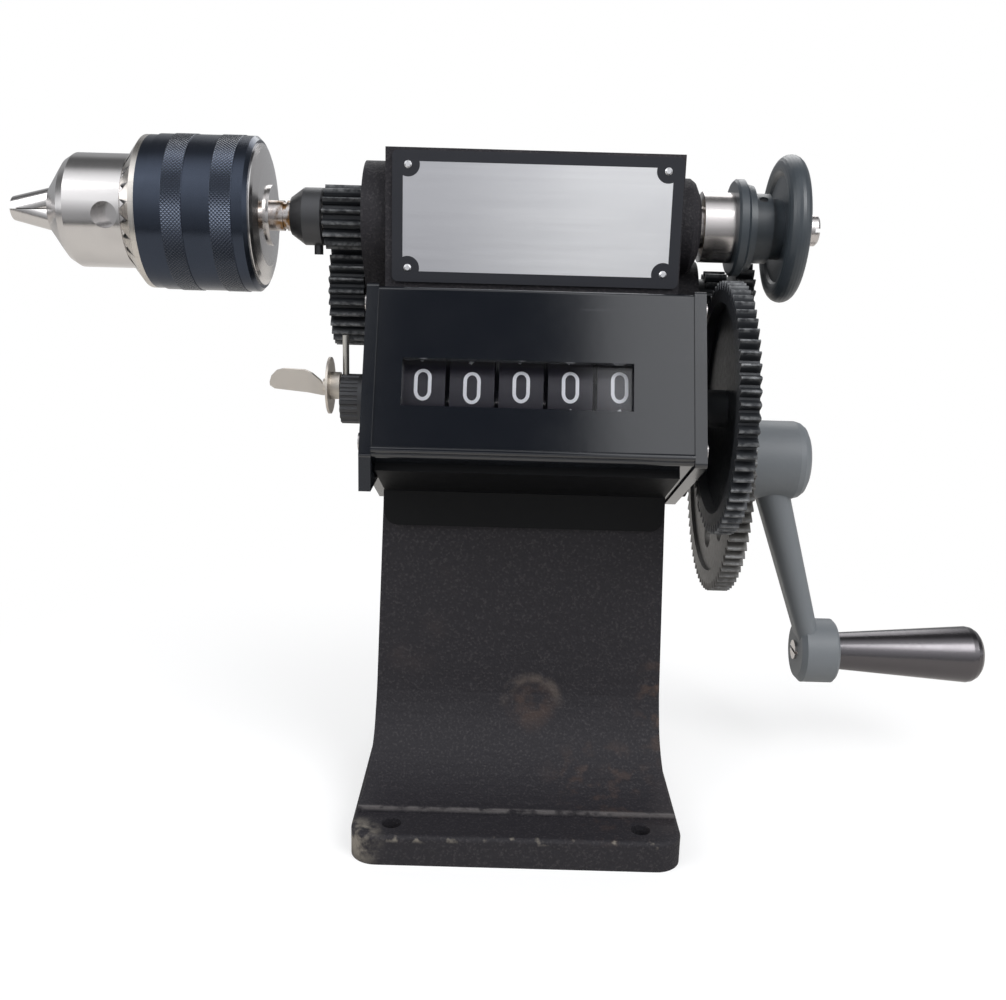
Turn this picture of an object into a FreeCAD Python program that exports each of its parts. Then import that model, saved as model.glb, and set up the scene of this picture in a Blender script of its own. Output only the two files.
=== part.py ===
import FreeCAD, Part
import math
import os

# Hand-cranked bench coil winder. X runs along every shaft towards the crank, Y to the back,
# Z up, and the origin lies on the underside of the base. All sizes are in millimetres.

# Base of the casting
base_width = 88.0
base_front_y = -47.0
base_back_y = 47.0
base_thickness = 8.5
base_corner_r = 7.0
base_edge_r = 1.2
base_hole_r = 2.6
base_hole_x = 33.25
base_hole_inset = 6.5

# Column of the casting
column_front_y = -9.0
column_back_y = 33.5
column_ridge_y = -35.2
column_half_width_top = 39.0
column_half_width_low = 41.0
column_low_z = 27.0
column_wide_z = 88.0
column_back_foot_y = 34.5
foot_step = 1.6
foot_steps = 12
web_thickness = 7.0
rib_inner_x = 30.0
hollow_floor_z = 13.0
roof_thickness = 7.5

# Head of the casting
head_front_y = -14.2
head_half_width = 38.0
head_wall = 7.2
head_top_rise = 17.6
head_steps = 9
cheek_front_y = 7.0
spindle_boss_left_r = 15.0
spindle_boss_right_r = 12.6
layshaft_boss_r = 11.5
crank_boss_r = 12.0
left_boss_face_x = -44.7
right_boss_lip_r = 8.8
right_boss_round = 2.6
right_boss_face_x = 44.3
layshaft_boss_face_x = 46.5
crank_boss_face_x = 48.8

# Gear train
gear_module = 1.0
pressure_angle = 25.0
gear_backlash = 0.20
spindle_teeth = 15
layshaft_teeth = 30
crank_pinion_teeth = 19
crank_gear_teeth = 78
counter_pinion_teeth = 13
counter_gear_teeth = 65

# Shaft axes: the spindle is placed, and each next axis stands at its gear distance and angle
spindle_y = 3.0
spindle_z = 165.0
layshaft_angle = -60.0
crank_angle = -81.0
counter_angle = -135.5

# Clearances
running_fit = 0.05
side_gap = 0.4

# Spindle
spindle_r = 5.5
spindle_nose_r = 4.0
spindle_left_x = -59.8
spindle_step_x = 63.3
spindle_end_x = 73.1
bush_wall = 2.0
spindle_pinion_x0 = -55.9
collar_x0 = -65.0
collar_cone_x = -61.4
collar_x1 = -56.2
collar_r = 7.6
collar_nose_r = 5.0
collar_screw_r = 1.2
collar_screw_reach = 10.0
sleeve_r = 9.3
sleeve_gap = 1.0
sleeve_x1 = 53.6
flange_r = 12.8
flange_x1 = 58.6
flange_neck_r = 9.2
flange_screw_r = 1.2
flange_screw_angle = 124.0
wheel_r = 19.5
wheel_rim_r = 3.0
wheel_web = 3.3
wheel_rim_steps = 18
wheel_hub_r = 8.0
end_screw_r = 4.2
end_screw_x1 = 77.0
end_screw_shank_r = 2.0
end_screw_shank = 7.0
end_screw_slot = 1.0

# Drill chuck
jaw_tip_x = -140.3
jaw_lean = 15.0
jaw_r = 3.75
jaw_length = 36.0
jaw_cluster_r = 6.2
jaw_gap = 0.15
jaw_travel = 23.0
chuck_capacity_r = 6.5
nose_face_x = -128.9
nose_curve = ((-128.9, 7.1), (-127.9, 8.4), (-125.6, 11.5), (-123.9, 13.7), (-121.8, 15.0))
nose_r = 15.0
nose_back_x = -107.0
key_hole_r = 3.4
key_hole_x = -111.0
key_hole_depth = 5.4
key_hole_turn = 4.0
ring_front_x = -106.6
ring_teeth = 26
ring_tooth_depth = 1.5
ring_tooth_slope = 1.05
ring_bevel_x = -103.0
ring_tooth_end_r = 18.8
sleeve_front_x = -101.6
sleeve_back_x = -73.0
chuck_r = 20.4
chuck_bore_r = 18.7
knurl_band_1 = (-94.8, -89.4)
knurl_band_2 = (-82.4, -76.8)
knurl_proud = 0.15
sleeve_shoulder = 2.7
sleeve_shoulder_drop = 0.3
nut_x0 = -98.0
nut_x1 = -92.0
nut_jaw_gap = 0.45
rear_cap_r = 18.5
rear_cap_x1 = -70.0
rear_cap_neck_r = 8.0

# Layshaft
layshaft_r = 4.5
layshaft_left_x = -56.0
layshaft_gear_x0 = -54.8
layshaft_gear_x1 = -45.3
lay_pinion_gap_x = 49.2
counter_pinion_x1 = 55.2
crank_pinion_x0 = 57.2
crank_pinion_x1 = 62.2
shaft_collar_width = 5.5
shaft_collar_wall = 3.5

# Crank
crank_shaft_r = 4.5
crank_gear_x0 = 56.2
crank_gear_x1 = 61.6
crank_gear_hub_left_r = 6.0
crank_gear_hub_right_r = 10.0
crank_gear_web = 3.4
crank_gear_rim = 5.0
lightening_holes = 8
lightening_hole_r = 4.6
lightening_pitch_r = 23.5
crank_hub_x0 = 66.0
crank_hub_x1 = 84.9
crank_hub_r = 11.75
crank_radius = 60.9
crank_arm_width = 15.0
crank_arm_x = (68.4, 79.0)
crank_arm_tip_x = (88.4, 94.6)
grip_boss_x0 = 87.6
grip_boss_x1 = 99.2
grip_boss_r = 10.0
grip_x1 = 145.3
grip_bolt_r = 3.0
grip_bolt_end_x = 136.0
grip_neck_r = 5.7
grip_full_r = 8.8
grip_end_round = 4.5
crank_nut_corner_r = 5.4
crank_nut_rise = 3.6
crank_recess_r = 7.0
crank_recess = 5.0
crank_screw_angle = 25.0
set_screw_r = 1.6

# Counter
counter_tilt = 24.5
counter_face_n = 20.0
counter_top_u = 24.4
counter_bottom_u = -20.1
counter_back_y = 4.4
counter_wall = 2.0
counter_x0 = -38.7
counter_x1 = 41.0
end_plate_left = 3.0
end_plate_right = 3.0
end_plate_proud = 0.6
counter_edge_r = 1.2
window_centre_x = -3.0
window_width = 57.85
window_height = 12.35
window_u = -0.72
pane_overlap = 1.2
pane_thickness = 1.0
bead_r = 0.9
bead_up = 1.8
wheel_drum_r = 15.5
wheel_pitch = 12.45
wheel_width = 11.3
units_wheel_x = 22.8
drum_names = ("wheel_units", "wheel_tens", "wheel_hundreds", "wheel_thousands", "wheel_ten_thousands")
counter_shaft_r = 3.0
counter_gear_x0 = 49.7
counter_gear_x1 = 54.7
counter_gear_web = 2.2
counter_gear_rim = 3.2
counter_gear_hub_r = 5.0
tie_rod_r = 1.5
tie_head_r = 2.2
tie_head = 0.6
bracket_thickness = 2.0
bracket_foot_z = 83.0
bracket_half_width = 38.4
bracket_reach_n = 13.0
bracket_corner_r = 3.5
bracket_screw_r = 2.0
bracket_screw_head_r = 2.6
bracket_screw_rise = 3.6
bracket_screw_x = 22.0

# Reset key
reset_rise = 3.4
reset_boss_r = 6.6
reset_boss_x0 = -49.4
reset_teeth = 18
reset_shaft_r = 1.8
reset_shaft_x1 = -42.6
reset_disc_r = 7.5
reset_disc_x = (-52.9, -52.3)
reset_collar_r = 3.6
reset_blade = ((-52.7, -2.0), (-54.3, -2.6), (-58.6, -1.9), (-67.3, -1.1), (-68.5, -0.3), (-68.6, 0.7),
               (-68.1, 2.3), (-66.8, 3.7), (-65.0, 4.2), (-59.4, 4.0), (-57.5, 3.2), (-55.3, 1.4),
               (-54.4, 0.2), (-52.7, 0.0))
reset_blade_thickness = 1.8
click_pin_r = 0.85
click_pin_x = -48.4
click_pin_top = 16.8
ear_drop = 9.6

# Name plate
plate_x0 = -36.2
plate_x1 = 37.6
plate_below_spindle = 15.7
plate_above_spindle = 16.9
plate_thickness = 0.8
plate_corner_r = 1.5
rivet_r = 1.0
rivet_inset_x = 4.0
rivet_inset_z = 3.5
rivet_dome = 0.4
plate_z0 = spindle_z - plate_below_spindle
plate_z1 = spindle_z + plate_above_spindle


def vec(x, y, z):
    return FreeCAD.Vector(x, y, z)


def polar(origin, distance, angle):
    turn = math.radians(angle)
    return (origin[0] + distance * math.cos(turn), origin[1] + distance * math.sin(turn))


def mesh_distance(teeth_a, teeth_b):
    return gear_module * (teeth_a + teeth_b) / 2.0


spindle_at = (spindle_y, spindle_z)
layshaft_at = polar(spindle_at, mesh_distance(spindle_teeth, layshaft_teeth), layshaft_angle)
crank_at = polar(layshaft_at, mesh_distance(crank_pinion_teeth, crank_gear_teeth), crank_angle)
counter_at = polar(layshaft_at, mesh_distance(counter_pinion_teeth, counter_gear_teeth), counter_angle)
grip_at = (crank_at[0], crank_at[1] - crank_radius)
reset_at = (counter_at[0], counter_at[1] + reset_rise)


def block(x0, x1, y0, y1, z0, z1):
    return Part.makeBox(x1 - x0, y1 - y0, z1 - z0, vec(x0, y0, z0))


def rod(x0, x1, r, at):
    return Part.makeCylinder(r, x1 - x0, vec(x0, at[0], at[1]), vec(1, 0, 0))


def tube(x0, x1, r_out, r_in, at):
    return rod(x0, x1, r_out, at).cut(rod(x0 - 1.0, x1 + 1.0, r_in, at))


def rod_along(start, direction, length, r):
    return Part.makeCylinder(r, length, start, direction)


def turned(profile, at):
    """Solid of revolution about the X axis through at; profile holds (x, radius) points."""
    points = [vec(x, at[0], at[1] + r) for x, r in profile]
    wire = Part.makePolygon(points + [points[0]])
    return Part.Face(wire).revolve(vec(0, at[0], at[1]), vec(1, 0, 0), 360)


def slab_x(points, x0, x1):
    """Prism along X of a polygon given as (y, z) points."""
    corners = [vec(x0, y, z) for y, z in points]
    face = Part.Face(Part.makePolygon(corners + [corners[0]]))
    return face.extrude(vec(x1 - x0, 0, 0))


def slab_y(points, y0, y1):
    """Prism along Y of a polygon given as (x, z) points."""
    corners = [vec(x, y0, z) for x, z in points]
    face = Part.Face(Part.makePolygon(corners + [corners[0]]))
    return face.extrude(vec(0, y1 - y0, 0))


def arc_points(centre, r, start, end, count):
    step = (end - start) / count
    return [polar(centre, r, start + step * i) for i in range(count + 1)]


def fused(first, *others):
    return first.fuse(list(others)).removeSplitter()


def involute(angle):
    return math.tan(angle) - angle


def tooth_half_angle(teeth, r):
    """Half the angle that a tooth covers at radius r."""
    pitch_r = gear_module * teeth / 2.0
    lean = math.radians(pressure_angle)
    base_r = pitch_r * math.cos(lean)
    at_r = math.acos(min(1.0, base_r / r))
    thinning = gear_backlash / 4.0 / pitch_r
    return math.pi / (2 * teeth) - thinning + involute(lean) - involute(at_r)


def gear_blank(teeth, x0, x1, at, first_tooth):
    """Toothed prism with a tooth centred on the angle first_tooth, in degrees from +Y to +Z."""
    pitch_r = gear_module * teeth / 2.0
    base_r = pitch_r * math.cos(math.radians(pressure_angle))
    root_r = pitch_r - 1.25 * gear_module
    tip_r = pitch_r + gear_module
    flank_low = max(base_r, root_r)
    radii = [flank_low, (flank_low + tip_r) / 2.0, tip_r]
    if root_r < base_r - 0.05:
        radii.insert(0, root_r)
    points = []
    for k in range(teeth):
        centre = math.radians(first_tooth) + 2 * math.pi * k / teeth
        left = [(r, centre - tooth_half_angle(teeth, max(r, base_r))) for r in radii]
        right = [(r, centre + tooth_half_angle(teeth, max(r, base_r))) for r in reversed(radii)]
        points += left + right
    outline = [(at[0] + r * math.cos(a), at[1] + r * math.sin(a)) for r, a in points]
    return slab_x(outline, x0, x1)


def facing(from_at, to_at):
    return math.degrees(math.atan2(to_at[1] - from_at[1], to_at[0] - from_at[0]))


def driver_phase(from_at, to_at):
    return facing(from_at, to_at)


def driven_phase(from_at, to_at, teeth):
    return facing(from_at, to_at) + 180.0 / teeth


def counter_point(n, u):
    """A point (y, z) from the counter's axis: n out of its face, u up along its face."""
    tilt = math.radians(counter_tilt)
    y = counter_at[0] - n * math.cos(tilt) + u * math.sin(tilt)
    z = counter_at[1] + n * math.sin(tilt) + u * math.cos(tilt)
    return (y, z)


def counter_n_at(u, y):
    """How far n lies out of the axis where the line at height u crosses the plane y."""
    tilt = math.radians(counter_tilt)
    return (counter_at[0] + u * math.sin(tilt) - y) / math.cos(tilt)


def counter_cross(u, y):
    return counter_point(counter_n_at(u, y), u)


def counter_outline(grow):
    """Side view of the counter's case: tilted face, top and bottom, upright back."""
    face_n = counter_face_n + grow
    top_u = counter_top_u + grow
    bottom_u = counter_bottom_u - grow
    back_y = counter_back_y + grow
    return [
        counter_point(face_n, bottom_u),
        counter_point(face_n, top_u),
        counter_cross(top_u, back_y),
        counter_cross(bottom_u, back_y),
    ]


def counter_slab(grow, x0, x1):
    """Prism with the case's side view, whose two front edges are rounded."""
    solid = slab_x(counter_outline(grow), x0, x1)
    fronts = [counter_point(counter_face_n + grow, u) for u in (counter_bottom_u - grow, counter_top_u + grow)]
    edges = []
    for e in solid.Edges:
        a = e.Vertexes[0].Point
        b = e.Vertexes[1].Point
        if abs(a.x - b.x) > (x1 - x0) / 2.0:
            if min(math.hypot(a.y - y, a.z - z) for y, z in fronts) < 0.01:
                edges.append(e)
    return solid.makeFillet(counter_edge_r, edges)


def column_front_outline():
    """Front view of the column: straight sides that sweep out to the base at the foot."""
    foot = base_width / 2.0 - 1.0
    sweep = foot - column_half_width_low
    sweep_z = base_thickness + foot_step
    top = spindle_z + head_top_rise
    right = [(foot, base_thickness - 0.5)]
    for i in range(foot_steps + 1):
        turn = math.radians(90.0 * i / foot_steps)
        x = foot - sweep * math.sin(turn)
        z = column_low_z - (column_low_z - sweep_z) * math.cos(turn)
        right.append((x, z))
    right.append((column_half_width_top, column_wide_z))
    right.append((head_half_width, spindle_z - head_top_rise))
    right.append((head_half_width, top))
    left = [(-x, z) for x, z in reversed(right)]
    return right + left


def column_side_outline():
    """Side view of the column: swept foot, step back behind the counter, head round the spindle."""
    foot_r = column_front_y - column_ridge_y
    sweep_at = (column_ridge_y, base_thickness + foot_step + foot_r)
    sweep = arc_points(sweep_at, foot_r, 270.0, 360.0, foot_steps)
    shelf_u = counter_bottom_u - end_plate_proud - 2 * side_gap
    roof_u = counter_top_u + end_plate_proud + 2 * side_gap
    head = arc_points(spindle_at, head_top_rise, 90.0, 20.0, head_steps)
    points = [(column_ridge_y, base_thickness - 0.5)] + sweep
    points.append(counter_cross(shelf_u, column_front_y))
    points.append(counter_cross(shelf_u, cheek_front_y))
    points.append(counter_cross(roof_u, cheek_front_y))
    points.append(counter_cross(roof_u, head_front_y))
    points.append((head_front_y, spindle_z + head_top_rise))
    points += head
    points.append((layshaft_at[0] + layshaft_boss_r + 3.0, layshaft_at[1] + 4.0))
    points.append((column_back_y, crank_at[1] + crank_boss_r))
    points.append((column_back_y, column_low_z))
    points.append((column_back_foot_y, base_thickness - 0.5))
    return points


def stadium(at_a, r_a, at_b, r_b, x0, x1):
    """Two round bosses joined by their common tangents."""
    along = math.atan2(at_b[1] - at_a[1], at_b[0] - at_a[0])
    distance = math.hypot(at_b[0] - at_a[0], at_b[1] - at_a[1])
    lean = math.degrees(math.acos((r_a - r_b) / distance))
    turn = math.degrees(along)
    corners = [
        polar(at_a, r_a, turn + lean),
        polar(at_a, r_a, turn - lean),
        polar(at_b, r_b, turn - lean),
        polar(at_b, r_b, turn + lean),
    ]
    return fused(slab_x(corners, x0, x1), rod(x0, x1, r_a, at_a), rod(x0, x1, r_b, at_b))


def make_frame_casting():
    half = base_width / 2.0
    base = block(-half, half, base_front_y, base_back_y, 0.0, base_thickness)
    uprights = [e for e in base.Edges if abs(e.Vertexes[0].Z - e.Vertexes[1].Z) > base_thickness / 2.0]
    base = base.makeFillet(base_corner_r, uprights)
    rim = [e for e in base.Edges if min(v.Z for v in e.Vertexes) > base_thickness - 0.01]
    base = base.makeFillet(base_edge_r, rim)

    top_z = spindle_z + head_top_rise
    column = slab_y(column_front_outline(), base_front_y, base_back_y)
    column = column.common(slab_x(column_side_outline(), -half, half))
    web_back_y = column_front_y + web_thickness
    head_back_y = head_front_y + head_wall
    hollow_front = [
        (web_back_y, hollow_floor_z),
        (web_back_y, counter_cross(counter_top_u, web_back_y)[1]),
        (head_back_y, counter_cross(counter_top_u, head_back_y)[1]),
        (head_back_y, top_z - roof_thickness),
        (base_back_y, top_z - roof_thickness),
        (base_back_y, hollow_floor_z),
    ]
    column = column.cut(slab_x(hollow_front, -rib_inner_x, rib_inner_x))

    left_bosses = stadium(spindle_at, spindle_boss_left_r, layshaft_at, layshaft_boss_r,
                          left_boss_face_x, -head_half_width + 1.0)
    right_start = head_half_width - 1.0
    bosses = [
        left_bosses,
        right_boss(right_start),
        rod(right_start, layshaft_boss_face_x, layshaft_boss_r - 1.5, layshaft_at),
        rod(rib_inner_x, crank_boss_face_x, crank_boss_r, crank_at),
    ]
    casting = base.fuse([column] + bosses)

    bores = [
        rod(left_boss_face_x - 1.0, right_boss_face_x + 1.0, spindle_r + bush_wall, spindle_at),
        rod(left_boss_face_x - 1.0, layshaft_boss_face_x + 1.0, layshaft_r + bush_wall, layshaft_at),
        rod(0.0, crank_boss_face_x + 1.0, crank_shaft_r + bush_wall, crank_at),
    ]
    for x in (-base_hole_x, base_hole_x):
        for y in (base_front_y + base_hole_inset, base_back_y - base_hole_inset):
            bores.append(rod_along(vec(x, y, -1.0), vec(0, 0, 1), base_thickness + 2.0, base_hole_r))
    for x in (-bracket_screw_x, bracket_screw_x):
        bores.append(rod_along(vec(x, column_front_y - 1.0, bracket_screw_z()), vec(0, 1, 0),
                               web_thickness + 2.0, bracket_screw_r))
    for x, z in rivet_places():
        bores.append(rod_along(vec(x, head_front_y, z), vec(0, 1, 0), rivet_depth(), rivet_shank_r()))
    return casting.cut(bores).removeSplitter()


def right_boss(start_x):
    """Round boss whose outer edge curves down to a lip round the bush."""
    middle_r = spindle_boss_right_r - 1.0
    return turned([
        (start_x, 0.0),
        (start_x, spindle_boss_right_r),
        (right_boss_face_x - right_boss_round, spindle_boss_right_r),
        (right_boss_face_x - right_boss_round / 2.0, middle_r),
        (right_boss_face_x, right_boss_lip_r),
        (right_boss_face_x, 0.0),
    ], spindle_at)


def bracket_screw_z():
    return bracket_foot_z + bracket_screw_rise


def rivet_shank_r():
    return 0.6 * rivet_r


def rivet_depth():
    return 3.0


def rivet_places():
    places = []
    for x in (plate_x0 + rivet_inset_x, plate_x1 - rivet_inset_x):
        for z in (plate_z0 + rivet_inset_z, plate_z1 - rivet_inset_z):
            places.append((x, z))
    return places


def make_nameplate():
    face_y = head_front_y - plate_thickness
    plate = block(plate_x0, plate_x1, face_y, head_front_y, plate_z0, plate_z1)
    corners = [e for e in plate.Edges if abs(e.Vertexes[0].Y - e.Vertexes[1].Y) > plate_thickness / 2.0]
    plate = plate.makeFillet(plate_corner_r, corners)
    holes = [rod_along(vec(x, face_y - 1.0, z), vec(0, 1, 0), plate_thickness + 2.0, rivet_shank_r())
             for x, z in rivet_places()]
    return plate.cut(holes)


def make_nameplate_rivets():
    rivets = []
    face_y = head_front_y - plate_thickness
    for x, z in rivet_places():
        cap = Part.makeCone(rivet_r, 0.6 * rivet_r, rivet_dome, vec(x, face_y, z), vec(0, -1, 0))
        length = plate_thickness + rivet_depth()
        shank = rod_along(vec(x, face_y, z), vec(0, 1, 0), length, rivet_shank_r())
        rivets.append(fused(cap, shank))
    return Part.makeCompound(rivets)


def radial_rod(x, at, angle, inner_r, outer_r, r):
    """Round bar square to the shaft axis, from inner_r out to outer_r, at an angle from +Y to +Z."""
    turn = math.radians(angle)
    way = vec(0, math.cos(turn), math.sin(turn))
    start = vec(x, at[0], at[1]) + way * inner_r
    return rod_along(start, way, outer_r - inner_r, r)


def make_bush(x0, x1, shaft_r, at):
    return tube(x0, x1, shaft_r + bush_wall, shaft_r + running_fit, at)


def make_shaft_collar(x0, shaft_r, at):
    return tube(x0, x0 + shaft_collar_width, shaft_r + shaft_collar_wall, shaft_r, at)


def make_spindle_shaft():
    shaft = turned([
        (spindle_left_x, 0.0),
        (spindle_left_x, spindle_r),
        (spindle_step_x, spindle_r),
        (spindle_step_x, spindle_nose_r),
        (spindle_end_x, spindle_nose_r),
        (spindle_end_x, 0.0),
    ], spindle_at)
    return shaft.cut(rod(spindle_end_x - end_screw_shank, spindle_end_x + 1.0, end_screw_shank_r, spindle_at))


def make_spindle_pinion():
    blank = gear_blank(spindle_teeth, spindle_pinion_x0, left_boss_face_x - side_gap, spindle_at,
                       driven_phase(spindle_at, layshaft_at, spindle_teeth))
    return blank.cut(rod(spindle_pinion_x0 - 1.0, left_boss_face_x, spindle_r, spindle_at))


def make_arbor_collar():
    collar = turned([
        (collar_x0, spindle_nose_r),
        (collar_x0, collar_nose_r),
        (collar_cone_x, collar_r),
        (collar_x1 - 0.4, collar_r),
        (collar_x1, collar_r - 0.4),
        (collar_x1, spindle_r),
        (spindle_left_x, spindle_r),
        (spindle_left_x, spindle_nose_r),
    ], spindle_at)
    return collar.cut(radial_rod(collar_screw_x(), spindle_at, 270.0, 0.0, 2 * collar_r, collar_screw_r))


def collar_screw_x():
    return (spindle_left_x + collar_x1) / 2.0


def make_collar_set_screw():
    return radial_rod(collar_screw_x(), spindle_at, 270.0, spindle_r, collar_screw_reach, collar_screw_r)


def make_chuck_arbor():
    back_x = spindle_left_x
    groove_x = collar_x0 - 1.6
    return turned([
        (sleeve_front_x + 8.0, 0.0),
        (sleeve_front_x + 8.0, spindle_nose_r - 0.6),
        (rear_cap_x1, spindle_nose_r),
        (groove_x - 0.5, spindle_nose_r),
        (groove_x - 0.5, spindle_nose_r - 0.5),
        (groove_x + 0.5, spindle_nose_r - 0.5),
        (groove_x + 0.5, spindle_nose_r),
        (back_x, spindle_nose_r),
        (back_x, 0.0),
    ], spindle_at)


def make_bearing_sleeve():
    return tube(right_boss_face_x + sleeve_gap, sleeve_x1, sleeve_r, spindle_r, spindle_at)


def make_belt_flange():
    flange = turned([
        (sleeve_x1, spindle_r),
        (sleeve_x1, flange_r - 0.6),
        (sleeve_x1 + 0.6, flange_r),
        (flange_x1 - 2.5, flange_r),
        (flange_x1 - 1.7, flange_r - 1.2),
        (flange_x1, flange_r - 1.6),
        (flange_x1, flange_neck_r),
        (spindle_step_x, flange_neck_r),
        (spindle_step_x, spindle_r),
    ], spindle_at)
    return flange.cut(radial_rod(flange_screw_x(), spindle_at, flange_screw_angle, 0.0, 2 * flange_r,
                                 flange_screw_r))


def flange_screw_x():
    return (flange_x1 + spindle_step_x) / 2.0


def make_flange_set_screw():
    return radial_rod(flange_screw_x(), spindle_at, flange_screw_angle, spindle_r, flange_neck_r - 0.5,
                      flange_screw_r)


def make_hand_wheel():
    """Hub and web with a round rim, whose section is a polygon of wheel_rim_steps sides."""
    rim_x = (spindle_step_x + spindle_end_x) / 2.0
    rim_centre = wheel_r - wheel_rim_r
    web_half = wheel_web / 2.0
    start = math.degrees(math.asin(web_half / wheel_rim_r))
    sweep = 360.0 - 2 * start
    rim = []
    for i in range(wheel_rim_steps + 1):
        turn = math.radians(start + sweep * i / wheel_rim_steps)
        rim.append((rim_x - wheel_rim_r * math.sin(turn), rim_centre - wheel_rim_r * math.cos(turn)))
    return turned([
        (spindle_step_x, spindle_nose_r),
        (spindle_step_x, wheel_hub_r),
        (rim_x - web_half, wheel_hub_r),
    ] + rim + [
        (rim_x + web_half, wheel_hub_r),
        (spindle_end_x, wheel_hub_r),
        (spindle_end_x, spindle_nose_r),
    ], spindle_at)


def make_end_screw():
    head = turned([
        (spindle_end_x, 0.0),
        (spindle_end_x, end_screw_r + 0.8),
        (spindle_end_x + 1.2, end_screw_r + 0.8),
        (spindle_end_x + 1.2, end_screw_r),
        (end_screw_x1 - 0.6, end_screw_r),
        (end_screw_x1, end_screw_r - 0.6),
        (end_screw_x1, 0.0),
    ], spindle_at)
    shank = rod(spindle_end_x - end_screw_shank, spindle_end_x, end_screw_shank_r, spindle_at)
    half_slot = end_screw_slot / 2.0
    slot = block(end_screw_x1 - 1.4, end_screw_x1 + 1.0, spindle_y - 10, spindle_y + 10,
                 spindle_z - half_slot, spindle_z + half_slot)
    return fused(head, shank).cut(slot)


def jaw_centre_r(x):
    """Distance of a jaw's centre line from the spindle axis at station x."""
    slope = math.tan(math.radians(jaw_lean))
    at_nose = jaw_cluster_r - jaw_r / math.cos(math.radians(jaw_lean))
    return at_nose + (x - nose_face_x) * slope


def jaw_way(turn):
    lean = math.radians(jaw_lean)
    return vec(math.cos(lean), math.sin(lean) * math.cos(turn), math.sin(lean) * math.sin(turn))


def jaw_start(turn, x):
    r = jaw_centre_r(x)
    return vec(x, spindle_y + r * math.cos(turn), spindle_z + r * math.sin(turn))


jaw_turns = [math.radians(a) for a in (0.0, 120.0, 240.0)]


def make_jaw(turn):
    """Round bar that leans to the axis, cut by two planes so that three jaws meet at the axis."""
    before = 8.0
    start = jaw_start(turn, jaw_tip_x - before * math.cos(math.radians(jaw_lean)))
    bar = rod_along(start, jaw_way(turn), jaw_length + before, jaw_r)
    apex = (spindle_y + jaw_gap * math.cos(turn), spindle_z + jaw_gap * math.sin(turn))
    reach = 3 * chuck_r
    degrees = math.degrees(turn)
    wedge = [apex, polar(apex, reach, degrees - 60.0), polar(apex, reach, degrees + 60.0)]
    bar = bar.common(slab_x(wedge, jaw_tip_x, rear_cap_x1))
    return bar


def make_chuck_body():
    groove_r = jaw_centre_r(nut_x0) + jaw_r / math.cos(math.radians(jaw_lean)) - 0.2
    body_r = chuck_bore_r - running_fit
    body = turned([
        (nose_face_x, 0.0),
    ] + list(nose_curve) + [
        (nose_back_x, nose_r),
        (nose_back_x, nose_r - side_gap),
        (sleeve_front_x + 1.5, nose_r - side_gap),
        (nut_x0 - side_gap, body_r - 2.0),
        (nut_x0 - side_gap, groove_r),
        (nut_x1 + side_gap, groove_r),
        (nut_x1 + side_gap, body_r),
        (sleeve_back_x + side_gap, body_r),
        (sleeve_back_x + side_gap, 0.0),
    ], spindle_at)
    bores = [rod(nose_face_x - 1.0, nose_face_x + 30.0, chuck_capacity_r, spindle_at)]
    for turn in jaw_turns:
        start = jaw_start(turn, jaw_tip_x)
        bores.append(rod_along(start, jaw_way(turn), jaw_length + jaw_travel + 2.0, jaw_r + running_fit))
        key_turn = turn + math.pi + math.radians(key_hole_turn)
        way = vec(0, math.cos(key_turn), math.sin(key_turn))
        mouth = vec(key_hole_x, spindle_y, spindle_z) + way * (nose_r - key_hole_depth)
        bores.append(rod_along(mouth, way, 2 * key_hole_depth, key_hole_r))
    bores.append(make_chuck_arbor())
    return body.cut(bores)


def make_chuck_rear_cap():
    start = sleeve_back_x + side_gap
    cap = turned([
        (start, spindle_nose_r),
        (start, rear_cap_r),
        (start + 0.5, rear_cap_r - 1.2),
        (start + 1.2, rear_cap_r - 5.0),
        (rear_cap_x1 - 0.8, rear_cap_neck_r),
        (rear_cap_x1, rear_cap_neck_r),
        (rear_cap_x1, spindle_nose_r),
    ], spindle_at)
    return cap.cut(make_chuck_arbor())


def make_chuck_sleeve():
    step = 0.5
    profile = [
        (sleeve_front_x, chuck_bore_r),
        (sleeve_front_x, chuck_r - sleeve_shoulder_drop),
        (sleeve_front_x + sleeve_shoulder, chuck_r - sleeve_shoulder_drop),
        (sleeve_front_x + sleeve_shoulder, chuck_r),
    ]
    for x0, x1 in (knurl_band_1, knurl_band_2):
        profile += [(x0, chuck_r), (x0, chuck_r + knurl_proud), (x1, chuck_r + knurl_proud), (x1, chuck_r)]
    profile += [
        (sleeve_back_x - 2 * step, chuck_r),
        (sleeve_back_x, chuck_r - 2 * step),
        (sleeve_back_x, chuck_bore_r),
    ]
    return turned(profile, spindle_at)


def make_chuck_gear_ring():
    inner_r = nose_r + 2 * running_fit
    ring = turned([
        (ring_front_x, inner_r),
        (ring_front_x, ring_front_r()),
        (ring_bevel_x, ring_band_r()),
        (sleeve_front_x, ring_band_r()),
        (sleeve_front_x, inner_r),
    ], spindle_at)
    pitch = 2 * math.pi / ring_teeth
    return ring.cut([ring_notch(pitch * (i + 0.5)) for i in range(ring_teeth)])


def ring_front_r():
    return nose_r + 0.6


def ring_band_r():
    return chuck_r - sleeve_shoulder_drop


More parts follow.
